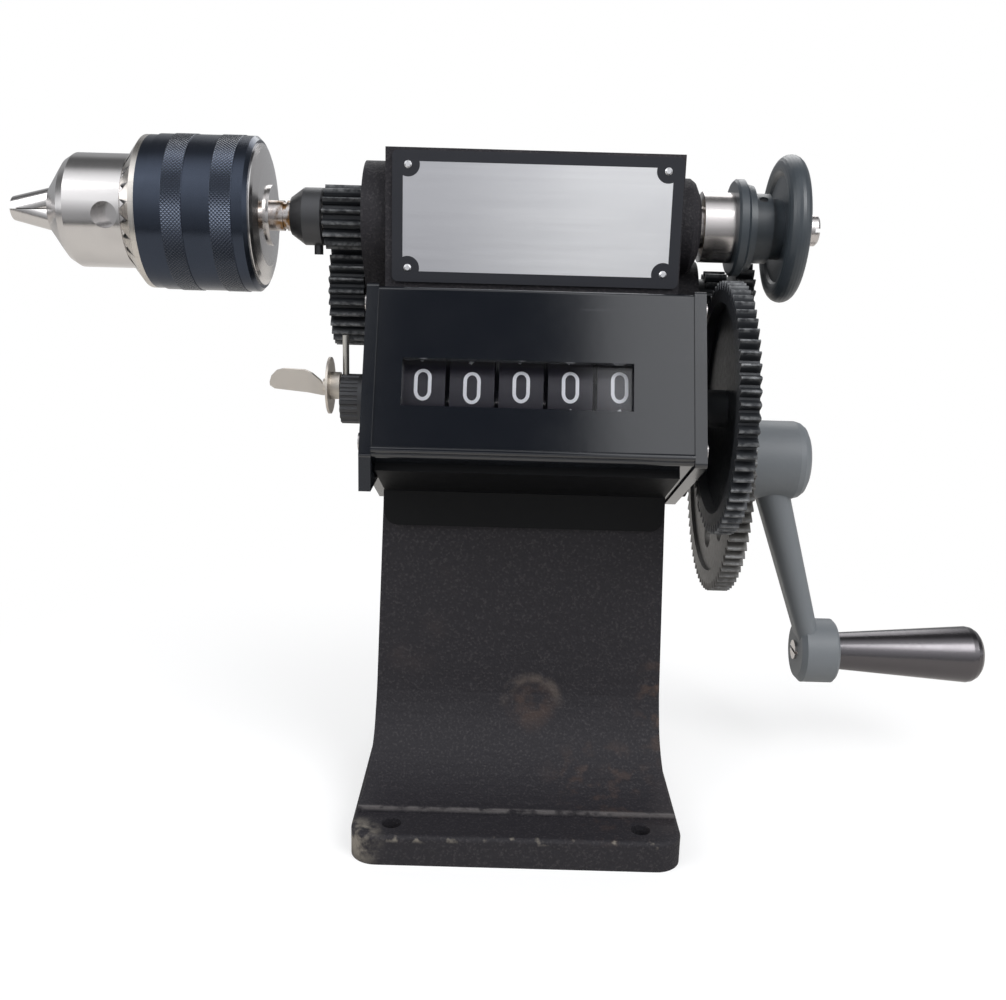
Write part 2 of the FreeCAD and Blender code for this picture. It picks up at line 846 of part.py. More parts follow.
def ring_notch(turn):
    """A V cut down the bevel, deep at the nose and run out before the plain band."""
    slope = (ring_bevel_x - ring_front_x) / (ring_band_r() - ring_front_r())
    above = 2.0
    wires = []
    for r, depth in ((nose_r - 0.8, ring_tooth_depth), (ring_tooth_end_r, 0.15)):
        x = ring_front_x + (r - ring_front_r()) * slope
        half = ring_tooth_slope * (depth + above)
        points = []
        for along, side in ((x - above, -half), (x + depth, 0.0), (x - above, half)):
            y = spindle_y + r * math.cos(turn) - side * math.sin(turn)
            z = spindle_z + r * math.sin(turn) + side * math.cos(turn)
            points.append(vec(along, y, z))
        wires.append(Part.makePolygon(points + [points[0]]))
    return Part.makeLoft(wires, True, True)


def make_chuck_nut():
    lean = math.cos(math.radians(jaw_lean))
    front_r = jaw_centre_r(nut_x0) + jaw_r / lean + nut_jaw_gap
    back_r = jaw_centre_r(nut_x1) + jaw_r / lean + nut_jaw_gap
    return turned([
        (nut_x0, front_r),
        (nut_x0, chuck_bore_r),
        (nut_x1, chuck_bore_r),
        (nut_x1, back_r),
    ], spindle_at)


def make_layshaft():
    return rod(layshaft_left_x, crank_pinion_x1, layshaft_r, layshaft_at)


def make_layshaft_gear():
    blank = gear_blank(layshaft_teeth, layshaft_gear_x0, layshaft_gear_x1, layshaft_at,
                       driver_phase(layshaft_at, spindle_at))
    dish = tube(layshaft_gear_x0 - 1.0, layshaft_gear_x0 + 2.0, 11.8, 7.5, layshaft_at)
    return blank.cut([dish, rod(layshaft_gear_x0 - 1.0, layshaft_gear_x1 + 1.0, layshaft_r, layshaft_at)])


def make_counter_pinion():
    blank = gear_blank(counter_pinion_teeth, lay_pinion_gap_x, counter_pinion_x1, layshaft_at,
                       driver_phase(layshaft_at, counter_at))
    spacer_root = 0.5 * gear_module * counter_pinion_teeth - 1.25 * gear_module
    spacer = rod(layshaft_boss_face_x + side_gap, lay_pinion_gap_x, spacer_root, layshaft_at)
    return fused(blank, spacer).cut(rod(0.0, counter_pinion_x1 + 1.0, layshaft_r, layshaft_at))


def make_crank_pinion():
    blank = gear_blank(crank_pinion_teeth, crank_pinion_x0, crank_pinion_x1, layshaft_at,
                       driver_phase(layshaft_at, crank_at))
    return blank.cut(rod(0.0, crank_pinion_x1 + 1.0, layshaft_r, layshaft_at))


def make_crank_shaft():
    return rod(rib_inner_x - side_gap - shaft_collar_width - 1.0, recess_floor_x(), crank_shaft_r, crank_at)


def make_crank_gear():
    blank = gear_blank(crank_gear_teeth, crank_gear_x0, crank_gear_x1, crank_at,
                       driven_phase(crank_at, layshaft_at, crank_gear_teeth))
    root_r = 0.5 * gear_module * crank_gear_teeth - 1.25 * gear_module
    rim_r = root_r - crank_gear_rim + 1.25 * gear_module
    dish = (crank_gear_x1 - crank_gear_x0 - crank_gear_web) / 2.0
    cuts = [
        tube(crank_gear_x0 - 1.0, crank_gear_x0 + dish, rim_r, crank_gear_hub_right_r, crank_at),
        tube(crank_gear_x1 - dish, crank_gear_x1 + 1.0, rim_r, crank_gear_hub_right_r, crank_at),
    ]
    for i in range(lightening_holes):
        centre = polar(crank_at, lightening_pitch_r, 360.0 * i / lightening_holes)
        cuts.append(rod(crank_gear_x0 - 1.0, crank_gear_x1 + 1.0, lightening_hole_r, centre))
    hubs = [
        rod(crank_boss_face_x + side_gap, crank_gear_x0 + 0.5, crank_gear_hub_left_r, crank_at),
        rod(crank_gear_x1 - 0.5, crank_hub_x0, crank_gear_hub_right_r, crank_at),
    ]
    gear = fused(blank.cut(cuts), *hubs)
    return gear.cut(rod(0.0, crank_hub_x0 + 1.0, crank_shaft_r, crank_at))


def make_crank_arm():
    """Hub, slanting arm and grip boss cast in one; the arm leans away from the gears."""
    hub = turned([
        (crank_hub_x0, 0.0),
        (crank_hub_x0, crank_hub_r - 1.0),
        (crank_hub_x0 + 1.0, crank_hub_r),
        (crank_hub_x1 - 4.0, crank_hub_r),
        (crank_hub_x1 - 2.3, crank_hub_r - 0.5),
        (crank_hub_x1 - 0.9, crank_hub_r - 1.6),
        (crank_hub_x1, crank_hub_r - 3.4),
        (crank_hub_x1, 0.0),
    ], crank_at)
    boss = turned([
        (grip_boss_x0, 0.0),
        (grip_boss_x0, grip_boss_r - 1.5),
        (grip_boss_x0 + 1.5, grip_boss_r),
        (grip_boss_x1 - 0.8, grip_boss_r),
        (grip_boss_x1, grip_boss_r - 0.8),
        (grip_boss_x1, 0.0),
    ], grip_at)
    root_z = crank_at[1] - 0.35 * crank_hub_r
    tip_z = grip_at[1] + 0.2 * grip_boss_r
    half = crank_arm_width / 2.0
    wires = []
    for z, span, width in ((root_z, crank_arm_x, half), (tip_z, crank_arm_tip_x, half * 0.86)):
        wires.append(rounded_section(span[0], span[1], crank_at[0], width, z))
    arm = Part.makeLoft(wires, True, True)
    whole = fused(hub, arm, boss)
    cuts = [
        rod(0.0, crank_hub_x1, crank_shaft_r, crank_at),
        rod(recess_floor_x(), crank_hub_x1 + 1.0, crank_recess_r, crank_at),
        rod(grip_boss_x0 - 1.0, grip_boss_x1 + 1.0, grip_bolt_r, grip_at),
        radial_rod(crank_screw_x(), crank_at, crank_screw_angle, 0.0, 2 * crank_hub_r, set_screw_r),
    ]
    return whole.cut(cuts)


def rounded_section(x0, x1, y, half, z):
    """Level outline with two half-round ends along Y."""
    r = (x1 - x0) / 2.0
    inner = half - r
    front = y - inner
    back = y + inner
    middle = (x0 + x1) / 2.0
    edges = [
        Part.LineSegment(vec(x0, back, z), vec(x0, front, z)).toShape(),
        Part.Arc(vec(x0, front, z), vec(middle, front - r, z), vec(x1, front, z)).toShape(),
        Part.LineSegment(vec(x1, front, z), vec(x1, back, z)).toShape(),
        Part.Arc(vec(x1, back, z), vec(middle, back + r, z), vec(x0, back, z)).toShape(),
    ]
    return Part.Wire(edges)


def recess_floor_x():
    return crank_hub_x1 - crank_recess


def crank_screw_x():
    return (crank_hub_x0 + recess_floor_x()) / 2.0


def make_crank_set_screw():
    return radial_rod(crank_screw_x(), crank_at, crank_screw_angle, crank_shaft_r, crank_hub_r - 0.6,
                      set_screw_r)


def make_crank_nut():
    """Hexagon on the shaft's end, sunk in the hub's recess."""
    points = [polar(crank_at, crank_nut_corner_r, 60.0 * i) for i in range(6)]
    return slab_x(points, recess_floor_x(), recess_floor_x() + crank_nut_rise)


def make_grip_bolt():
    bolt = rod(grip_boss_x0 - 0.8, grip_bolt_end_x, grip_bolt_r, grip_at)
    slot = block(grip_boss_x0 - 1.8, grip_boss_x0 + 0.4, grip_at[0] - 10, grip_at[0] + 10,
                 grip_at[1] - 0.45, grip_at[1] + 0.45)
    return bolt.cut(slot)


def make_handle_grip():
    """Straight taper that widens to a rounded outer end, bored for the bolt."""
    x0 = grip_boss_x1 + side_gap
    end_x = grip_x1 - grip_end_round
    bore_x = grip_bolt_end_x + side_gap
    bore_r = grip_bolt_r + running_fit
    profile = [(x0, bore_r), (x0, grip_neck_r), (end_x, grip_full_r)]
    for angle in (20.0, 40.0, 60.0, 78.0, 90.0):
        turn = math.radians(angle)
        x = end_x + grip_end_round * math.sin(turn)
        profile.append((x, grip_full_r - grip_end_round * (1.0 - math.cos(turn))))
    profile += [(grip_x1, 0.0), (bore_x, 0.0), (bore_x, bore_r)]
    return turned(profile, grip_at)


def counter_box(n0, n1, u0, u1, x0, x1):
    points = [counter_point(n0, u0), counter_point(n0, u1), counter_point(n1, u1), counter_point(n1, u0)]
    return slab_x(points, x0, x1)


def tie_rod_places():
    inset = counter_wall + tie_rod_r
    front_n = counter_face_n - inset
    top_u = counter_top_u - inset
    bottom_u = counter_bottom_u + inset
    back_y = counter_back_y - inset
    return [
        counter_point(front_n, top_u),
        counter_point(front_n, bottom_u + 1.0),
        counter_cross(bottom_u, back_y - 1.0),
        counter_cross(top_u, back_y),
    ]


def make_counter_cover():
    outer = counter_slab(0.0, counter_x0, counter_x1)
    bead_at = counter_point(counter_face_n, counter_bottom_u + bead_up)
    outer = outer.fuse(rod(counter_x0, counter_x1, bead_r, bead_at))
    inner = slab_x(counter_outline(-counter_wall), counter_x0 - 1.0, counter_x1 + 1.0)
    half = window_width / 2.0
    window = counter_box(counter_face_n - 2 * counter_wall, counter_face_n + 1.0,
                         window_u - window_height / 2.0, window_u + window_height / 2.0,
                         window_centre_x - half, window_centre_x + half)
    return outer.cut([inner, window]).removeSplitter()


def make_counter_window():
    half = window_width / 2.0 + pane_overlap
    half_u = window_height / 2.0 + pane_overlap
    back_n = counter_face_n - counter_wall - pane_thickness
    return counter_box(back_n, counter_face_n - counter_wall, window_u - half_u, window_u + half_u,
                       window_centre_x - half, window_centre_x + half)


def end_plate_ear(x0, x1):
    """Square corner that hangs below the left end plate's front edge."""
    corner = counter_point(counter_face_n + end_plate_proud - counter_edge_r, counter_bottom_u - end_plate_proud)
    tip = counter_point(counter_face_n + end_plate_proud, counter_bottom_u - end_plate_proud + counter_edge_r)
    level = tip[1] - ear_drop
    run = (corner[1] - level) / math.tan(math.radians(counter_tilt))
    inside = counter_point(counter_face_n - counter_wall, counter_bottom_u + counter_wall)
    return slab_x([tip, (tip[0], level), (corner[0] + run, level), inside], x0, x1)


def make_counter_end(x0, x1, bore_r, bore_at):
    plate = counter_slab(end_plate_proud, x0, x1)
    if x1 < 0.0:
        plate = fused(plate, end_plate_ear(x0, x1))
    holes = [rod(x0 - 1.0, x1 + 1.0, tie_rod_r, at) for at in tie_rod_places()]
    holes.append(rod(x0 - 1.0, x1 + 1.0, bore_r, bore_at))
    return plate.cut(holes)


def make_counter_tie_rods():
    x0 = counter_x0 - end_plate_left
    x1 = counter_x1 + end_plate_right
    rods = []
    for at in tie_rod_places():
        heads = [rod(x0 - tie_head, x0, tie_head_r, at), rod(x1, x1 + tie_head, tie_head_r, at)]
        rods.append(fused(rod(x0, x1, tie_rod_r, at), *heads))
    return Part.makeCompound(rods)


def make_counter_bracket():
    """Bent plate: a foot flat on the column and a shelf under the counter's tilted bottom."""
    top_u = counter_bottom_u
    low_u = counter_bottom_u - bracket_thickness
    foot_y = column_front_y - bracket_thickness
    outline = [
        counter_point(bracket_reach_n, top_u),
        counter_cross(top_u, column_front_y),
        (column_front_y, bracket_foot_z),
        (foot_y, bracket_foot_z),
        counter_cross(low_u, foot_y),
        counter_point(bracket_reach_n, low_u),
    ]
    plate = slab_x(outline, -bracket_half_width, bracket_half_width)
    corners = []
    for e in plate.Edges:
        if len(e.Vertexes) == 2 and abs(e.Vertexes[0].Y - e.Vertexes[1].Y) > bracket_thickness / 2.0:
            if max(v.Z for v in e.Vertexes) < bracket_foot_z + 0.01:
                corners.append(e)
    plate = plate.makeFillet(bracket_corner_r, corners)
    holes = [rod_along(vec(x, foot_y - 1.0, bracket_screw_z()), vec(0, 1, 0), 5.0, bracket_screw_r)
             for x in (-bracket_screw_x, bracket_screw_x)]
    return plate.cut(holes)


def make_bracket_screws():
    web_back_y = column_front_y + web_thickness
    screws = []
    for x in (-bracket_screw_x, bracket_screw_x):
        z = bracket_screw_z()
        shank = rod_along(vec(x, column_front_y - bracket_thickness, z), vec(0, 1, 0),
                          web_thickness + bracket_thickness, bracket_screw_r)
        head = rod_along(vec(x, web_back_y, z), vec(0, 1, 0), 2.4, bracket_screw_head_r)
        slot = block(x - 5.0, x + 5.0, web_back_y + 1.4, web_back_y + 3.0, z - 0.5, z + 0.5)
        screws.append(fused(shank, head).cut(slot))
    return Part.makeCompound(screws)


def make_counter_shaft():
    return rod(counter_x0 - end_plate_left + 0.5, counter_gear_x1, counter_shaft_r, counter_at)


def make_counter_gear():
    blank = gear_blank(counter_gear_teeth, counter_gear_x0, counter_gear_x1, counter_at,
                       driven_phase(counter_at, layshaft_at, counter_gear_teeth))
    root_r = 0.5 * gear_module * counter_gear_teeth - 1.25 * gear_module
    dish = counter_gear_x1 - counter_gear_x0 - counter_gear_web
    cuts = [tube(counter_gear_x0 - 1.0, counter_gear_x0 + dish, root_r - counter_gear_rim,
                 counter_gear_hub_r, counter_at)]
    hub_x0 = counter_x1 + end_plate_right + tie_head + side_gap
    hub = rod(hub_x0, counter_gear_x0 + 0.5, counter_gear_hub_r, counter_at)
    gear = fused(blank.cut(cuts), hub)
    return gear.cut(rod(0.0, counter_gear_x1 + 1.0, counter_shaft_r, counter_at))


def make_number_wheel(index):
    middle = units_wheel_x - index * wheel_pitch
    bore = counter_shaft_r if index == 0 else counter_shaft_r + running_fit
    half = wheel_width / 2.0
    drum = rod(middle - half, middle + half, wheel_drum_r, counter_at)
    cuts = [
        tube(middle - half - 1.0, middle - half + 1.6, wheel_drum_r - 2.2, 6.0, counter_at),
        rod(middle - half - 1.0, middle + half + 1.0, bore, counter_at),
    ]
    return drum.cut(cuts)


def make_reset_bearing():
    """Black notched boss on the counter's left end, which carries the reset key's stub shaft."""
    x1 = counter_x0 - end_plate_left
    boss = rod(reset_boss_x0, x1, reset_boss_r, counter_at)
    cuts = [rod(reset_boss_x0 - 1.0, x1 + 1.0, reset_shaft_r + running_fit, reset_at)]
    for i in range(reset_teeth):
        at = polar(counter_at, reset_boss_r + 0.35, 360.0 * (i + 0.5) / reset_teeth)
        cuts.append(rod(reset_boss_x0 - 1.0, x1 - 3.0, 0.8, at))
    cuts.append(make_click_pin())
    return boss.cut(cuts)


def make_click_pin():
    start = vec(click_pin_x, counter_at[0], counter_at[1] + reset_rise + reset_shaft_r + 0.8)
    length = click_pin_top - reset_rise - reset_shaft_r - 0.8
    return rod_along(start, vec(0, 0, 1), length, click_pin_r)


def make_reset_key():
    """Winged blade, with a collar against the bearing and a stub shaft into the case."""
    half = reset_blade_thickness / 2.0
    outline = [(x, reset_at[1] + up) for x, up in reset_blade]
    blade = slab_y(outline, reset_at[0] - half, reset_at[0] + half)
    collar = rod(reset_disc_x[1], reset_boss_x0 - side_gap, reset_collar_r, reset_at)
    shaft = rod(reset_disc_x[0] - 1.5, reset_shaft_x1, reset_shaft_r, reset_at)
    return fused(blade, collar, shaft)


def make_reset_disc():
    disc = rod(reset_disc_x[0], reset_disc_x[1], reset_disc_r, reset_at)
    return disc.cut(make_reset_key())


def build():
    parts = {
        "frame_casting": make_frame_casting(),
        "nameplate": make_nameplate(),
        "nameplate_rivets": make_nameplate_rivets(),
        "spindle_bush_left": make_bush(left_boss_face_x, -rib_inner_x, spindle_r, spindle_at),
        "spindle_bush_right": make_bush(rib_inner_x, right_boss_face_x, spindle_r, spindle_at),
        "layshaft_bush_left": make_bush(left_boss_face_x, -rib_inner_x, layshaft_r, layshaft_at),
        "layshaft_bush_right": make_bush(rib_inner_x, layshaft_boss_face_x, layshaft_r, layshaft_at),
        "crank_bush": make_bush(rib_inner_x, crank_boss_face_x, crank_shaft_r, crank_at),
        "counter_bracket": make_counter_bracket(),
        "bracket_screws": make_bracket_screws(),
        "counter_cover": make_counter_cover(),
        "counter_window": make_counter_window(),
        "counter_end_left": make_counter_end(counter_x0 - end_plate_left, counter_x0,
                                             counter_shaft_r + running_fit, counter_at),
        "counter_end_right": make_counter_end(counter_x1, counter_x1 + end_plate_right,
                                              counter_shaft_r + running_fit, counter_at),
        "counter_tie_rods": make_counter_tie_rods(),
        "reset_bearing": make_reset_bearing(),
        "click_pin": make_click_pin(),
        "spindle_shaft": make_spindle_shaft(),
        "spindle_pinion": make_spindle_pinion(),
        "arbor_collar": make_arbor_collar(),
        "collar_set_screw": make_collar_set_screw(),
        "chuck_arbor": make_chuck_arbor(),
        "chuck_body": make_chuck_body(),
        "chuck_rear_cap": make_chuck_rear_cap(),
        "bearing_sleeve": make_bearing_sleeve(),
        "belt_flange": make_belt_flange(),
        "flange_set_screw": make_flange_set_screw(),
        "hand_wheel": make_hand_wheel(),
        "end_screw": make_end_screw(),
        "chuck_sleeve": make_chuck_sleeve(),
        "chuck_gear_ring": make_chuck_gear_ring(),
        "chuck_nut": make_chuck_nut(),
        "layshaft": make_layshaft(),
        "layshaft_gear": make_layshaft_gear(),
        "layshaft_collar": make_shaft_collar(-rib_inner_x + side_gap, layshaft_r, layshaft_at),
        "counter_pinion": make_counter_pinion(),
        "crank_pinion": make_crank_pinion(),
        "crank_shaft": make_crank_shaft(),
        "crank_gear": make_crank_gear(),
        "crank_collar": make_shaft_collar(rib_inner_x - side_gap - shaft_collar_width, crank_shaft_r, crank_at),
        "crank_arm": make_crank_arm(),
        "crank_set_screw": make_crank_set_screw(),
        "crank_nut": make_crank_nut(),
        "grip_bolt": make_grip_bolt(),
        "handle_grip": make_handle_grip(),
        "counter_shaft": make_counter_shaft(),
        "counter_gear": make_counter_gear(),
        "reset_key": make_reset_key(),
        "reset_disc": make_reset_disc(),
    }
    for number, turn in enumerate(jaw_turns, start=1):
        parts["chuck_jaw_%d" % number] = make_jaw(turn)
    for index, name in enumerate(drum_names):
        parts[name] = make_number_wheel(index)
    return parts


def main():
    os.makedirs("parts", exist_ok=True)
    for name, shape in build().items():
        shape.exportStep("parts/%s.step" % name)
        print("%-22s solids %d volume %.1f valid %s" % (name, len(shape.Solids), shape.Volume, shape.isValid()))
    axes = {
        "spindle": spindle_at,
        "layshaft": layshaft_at,
        "crank": crank_at,
        "counter": counter_at,
        "grip": grip_at,
        "reset": reset_at,
    }
    for name, at in axes.items():
        print("axis %s y %.4f z %.4f" % (name, at[0], at[1]))


main()
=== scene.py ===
# %% [markdown]
# # A hand-cranked coil winding machine, dressed for its photograph
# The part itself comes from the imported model: a black sand-cast frame, a geared
# spindle with a drill chuck, a five-figure turn counter and a hand crank. This
# script gives each piece the finish that it has on the real machine, adds the
# thin forms that are printed on (the black frame of the name plate and the
# figures of the counter), and sets the light and the camera. Everything is in
# metres, in the same place as the part.

import math

import bpy
from mathutils import Matrix, Vector


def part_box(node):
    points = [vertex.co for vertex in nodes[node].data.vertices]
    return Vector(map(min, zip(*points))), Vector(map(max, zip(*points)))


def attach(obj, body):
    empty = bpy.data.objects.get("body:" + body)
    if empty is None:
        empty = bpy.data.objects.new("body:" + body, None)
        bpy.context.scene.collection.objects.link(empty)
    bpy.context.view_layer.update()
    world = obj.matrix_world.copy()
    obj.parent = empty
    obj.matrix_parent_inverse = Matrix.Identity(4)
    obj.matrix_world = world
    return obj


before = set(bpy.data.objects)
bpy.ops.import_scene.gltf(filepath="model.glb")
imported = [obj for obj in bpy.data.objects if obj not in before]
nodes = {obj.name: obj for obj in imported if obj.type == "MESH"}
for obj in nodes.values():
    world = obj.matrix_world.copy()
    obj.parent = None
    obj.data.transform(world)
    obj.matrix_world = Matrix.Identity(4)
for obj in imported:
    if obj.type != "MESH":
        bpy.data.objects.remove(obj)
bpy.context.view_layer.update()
print("nodes:", len(nodes))

# %% [markdown]
# The measures below are the ones that the added pieces share with the part.
# They are read from the part's own boxes where that is possible, so that a
# piece stays on what carries it.

# %% Shared measures
MM = 0.001
face_tilt = math.radians(24.5)


def axis_of(node):
    """The line along the shafts through the middle of a round node."""
    low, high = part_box(node)
    return Vector((0.0, (low.y + high.y) / 2, (low.z + high.z) / 2))


def radius_of(node):
    """Half the height of a round node."""
    low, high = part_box(node)
    return (high.z - low.z) / 2


spindle_axis = axis_of("bearing_sleeve")
layshaft_axis = axis_of("layshaft")
crank_axis = axis_of("crank_gear")
counter_axis = axis_of("wheel_tens")
drum_radius = radius_of("wheel_tens")


def centre_x(node):
    """The middle of a node's box along the shafts."""
    low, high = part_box(node)
    return (low.x + high.x) / 2


print("units wheel at", round(centre_x("wheel_units") / MM, 2), "mm")

# %% [markdown]
# Most finishes here are one base colour broken up by noise: castings have grain
# and rust, turned parts have fine rings, brushed plate has long hairlines. A
# small builder keeps each finish to a few lines. It starts from the standard
# shader, and gives back sockets, so that one noise can drive colour, roughness
# and bump together, which is what makes wear look like wear.

# %% A builder for finishes
class Nodes:
    """Short ways to add nodes to a tree."""

    def __init__(self, tree):
        self.tree = tree

    def link(self, source, target):
        self.tree.links.new(source, target)

    def place(self, stretch=(1.0, 1.0, 1.0), about=(0.0, 0.0, 0.0)):
        """Object coordinates, measured from a point and stretched."""
        coords = self.tree.nodes.new("ShaderNodeTexCoord")
        shift = self.tree.nodes.new("ShaderNodeVectorMath")
        shift.operation = "SUBTRACT"
        shift.inputs[1].default_value = about
        scale = self.tree.nodes.new("ShaderNodeVectorMath")
        scale.operation = "MULTIPLY"
        scale.inputs[1].default_value = stretch
        self.link(coords.outputs["Object"], shift.inputs[0])
        self.link(shift.outputs[0], scale.inputs[0])
        return scale.outputs[0]

    def parts(self, vector):
        """The three parts of a vector."""
        node = self.tree.nodes.new("ShaderNodeSeparateXYZ")
        self.link(vector, node.inputs[0])
        return node.outputs[0], node.outputs[1], node.outputs[2]

    def noise(self, scale, detail=4.0, stretch=(1.0, 1.0, 1.0)):
        """A noise between 0 and 1; scale is in waves per metre."""
        node = self.tree.nodes.new("ShaderNodeTexNoise")
        node.inputs["Scale"].default_value = scale
        node.inputs["Detail"].default_value = detail
        self.link(self.place(stretch), node.inputs["Vector"])
        return node.outputs["Fac"]

    def math(self, operation, first, second=0.0):
        """One sum of two values; either may be a socket."""
        node = self.tree.nodes.new("ShaderNodeMath")
        node.operation = operation
        for socket, value in zip(node.inputs, (first, second)):
            if isinstance(value, bpy.types.NodeSocket):
                self.link(value, socket)
            else:
                socket.default_value = value
        return node.outputs[0]

    def times(self, *values):
        """The product of masks and numbers."""
        result = values[0]
        for value in values[1:]:
            result = self.math("MULTIPLY", result, value)
        return result

    def band(self, value, start, end):
        """0 at start and 1 at end, smooth between them; start may be the larger."""
        node = self.tree.nodes.new("ShaderNodeMapRange")
        node.interpolation_type = "SMOOTHSTEP"
        node.inputs["From Min"].default_value = start
        node.inputs["From Max"].default_value = end
        self.link(value, node.inputs["Value"])
        return node.outputs["Result"]

    def spread(self, value, low, high):
        """A 0 to 1 value stretched to run from low to high."""
        node = self.tree.nodes.new("ShaderNodeMapRange")
        node.inputs["To Min"].default_value = low
        node.inputs["To Max"].default_value = high
        self.link(value, node.inputs["Value"])
        return node.outputs["Result"]

    def reach(self, about, stretch=(1.0, 1.0, 1.0)):
        """The distance from a point, in metres; a stretch of 0 leaves a direction out."""
        length = self.tree.nodes.new("ShaderNodeVectorMath")
        length.operation = "LENGTH"
        self.link(self.place(stretch, about), length.inputs[0])
        return length.outputs["Value"]

    def from_axis(self, axis):
        """The distance from an axis that runs along X, in metres."""
        return self.reach(axis, (0.0, 1.0, 1.0))


class Look(Nodes):
    """One material and its shader."""

    def __init__(self, name, colour, roughness, metallic=0.0, **constants):
        self.material = bpy.data.materials.new(name)
        self.material.use_nodes = True
        super().__init__(self.material.node_tree)
        self.shader = self.tree.nodes["Principled BSDF"]
        self.shader.inputs["Base Color"].default_value = (*colour, 1.0)
        self.shader.inputs["Roughness"].default_value = roughness
        self.shader.inputs["Metallic"].default_value = metallic
        for key, value in constants.items():
            self.shader.inputs[key.replace("_", " ")].default_value = value

    def tint(self, mask, colour):
        """Lays a colour over the base colour where the mask is 1."""
        base = self.shader.inputs["Base Color"]
        mix = self.tree.nodes.new("ShaderNodeMix")
        mix.data_type = "RGBA"
        if base.is_linked:
            self.link(base.links[0].from_socket, mix.inputs["A"])
        else:
            mix.inputs["A"].default_value = base.default_value
        mix.inputs["B"].default_value = (*colour, 1.0)
        self.link(mask, mix.inputs["Factor"])
        self.link(mix.outputs["Result"], base)

    def rough(self, value, low, high):
        self.link(self.spread(value, low, high), self.shader.inputs["Roughness"])

    def bump(self, height, distance, strength=1.0):
        """Adds a bump; a second one sits on top of the first."""
        node = self.tree.nodes.new("ShaderNodeBump")
        node.inputs["Distance"].default_value = distance
        node.inputs["Strength"].default_value = strength
        self.link(height, node.inputs["Height"])
        normal = self.shader.inputs["Normal"]
        if normal.is_linked:
            self.link(normal.links[0].from_socket, node.inputs["Normal"])
        self.link(node.outputs["Normal"], normal)


looks = {}
print("builder ready")

# %% [markdown]
# The frame is grey iron, cast in sand and dipped in thin black paint. Sand
# leaves a grain of about half a millimetre, and the paint dulls it. The worn
# places are not random: paint goes first from the front edge of the base and
# from the step above it, and rust shows in a patch at the foot and on one side.
# The pale line along the step is also a painted highlight on its edge.

# %% Sand-cast iron
look = Look("cast_iron", (0.0150, 0.0138, 0.0170), 0.62, Specular_IOR_Level=0.28)
grain = look.noise(1500.0, 3.0)
lumps = look.noise(320.0, 4.0)
patches = look.noise(30.0, 5.0)
chips = look.noise(240.0, 4.0)
look.tint(look.band(grain, 0.50, 0.75), (0.034, 0.031, 0.034))
look.tint(look.times(look.band(patches, 0.60, 0.74), 0.35), (0.052, 0.040, 0.038))
look.rough(grain, 0.80, 0.55)
look.bump(lumps, 0.0005, 0.6)
look.bump(grain, 0.0003, 0.7)
looks["cast_iron"] = look
print("cast iron done")

# %% [markdown]
# Each worn place, and the painted highlight along the step, is a distance from
# a point or a line, faded over a few millimetres and broken up by the chips.
# The pale arc at the foot is the upper side of a ring round the rusty spot.

# %% Worn places and a painted highlight
rust = (0.085, 0.052, 0.038)
pale_arc_tone = (0.16, 0.13, 0.11)
bare_iron_and_highlight = (0.13, 0.12, 0.12)
sand = (0.30, 0.27, 0.225)
foot_spot = look.reach((4.0 * MM, -14.0 * MM, 30.0 * MM), (1.0, 0.0, 1.0))
side_spot = look.reach((41.0 * MM, 0.0, 32.0 * MM), (1.0, 0.0, 0.45))
low_spot = look.reach((24.0 * MM, 0.0, 14.0 * MM), (0.5, 0.0, 1.0))
step_wear_and_highlight = look.from_axis((0.0, -35.2 * MM, 10.1 * MM))
lip_line = look.from_axis((0.0, -46.9 * MM, 8.1 * MM))
corner = look.reach((-43.5 * MM, -46.0 * MM, 6.5 * MM))
arc_out = look.band(foot_spot, 5.5 * MM, 7.5 * MM)
arc_in = look.band(foot_spot, 10.0 * MM, 8.0 * MM)
upper = look.band(look.parts(look.place())[2], 28.0 * MM, 34.0 * MM)
foot_arc = look.times(arc_out, arc_in, upper)
# mask of the place, chips that start and end it, strength, colour
wear_and_highlight_plan = (
    (foot_arc, 0.35, 0.60, 0.30, pale_arc_tone),
    (look.band(foot_spot, 9.0 * MM, 3.0 * MM), 0.35, 0.65, 0.35, rust),
    (look.band(side_spot, 9.0 * MM, 2.0 * MM), 0.45, 0.65, 0.50, rust),
    (look.band(low_spot, 9.0 * MM, 3.0 * MM), 0.48, 0.65, 0.25, rust),
    # pale line along the step: bare iron where the paint is worn, and a painted highlight on the
    # edge
    (look.band(step_wear_and_highlight, 1.3 * MM, 0.3 * MM), 0.30, 0.55, 0.70, bare_iron_and_highlight),
    (look.band(lip_line, 1.7 * MM, 0.5 * MM), 0.58, 0.70, 0.50, sand),
    (look.band(corner, 10.0 * MM, 3.0 * MM), 0.38, 0.60, 0.60, sand),
)
for mask, start, end, strength, colour in wear_and_highlight_plan:
    look.tint(look.times(mask, look.band(chips, start, end), strength), colour)
print("worn places:", len(wear_and_highlight_plan))

# %% [markdown]
# Gears are blacked steel. Oil makes them darker in the gaps, and the mesh keeps
# the tips of the teeth bare, so the tips turn paler. Each gear turns about its
# own axis, and the distance from that axis tells tip from root.

# %% Gears
def gear_look(name, colour, axis, tip, worn):
    """Black steel with a worn band near the tips of the teeth."""
    gear = Look(name, colour, 0.42, 0.35, Specular_IOR_Level=0.5)
    speck = gear.noise(700.0, 4.0)
    reach = gear.from_axis(axis)
    edge = gear.band(reach, tip - 0.9 * MM, tip - 0.1 * MM)
    gear.tint(gear.times(edge, gear.band(speck, 0.30, 0.70), 0.8), worn)
    gear.rough(speck, 0.55, 0.32)
    gear.bump(speck, 0.00012, 0.5)
    return gear


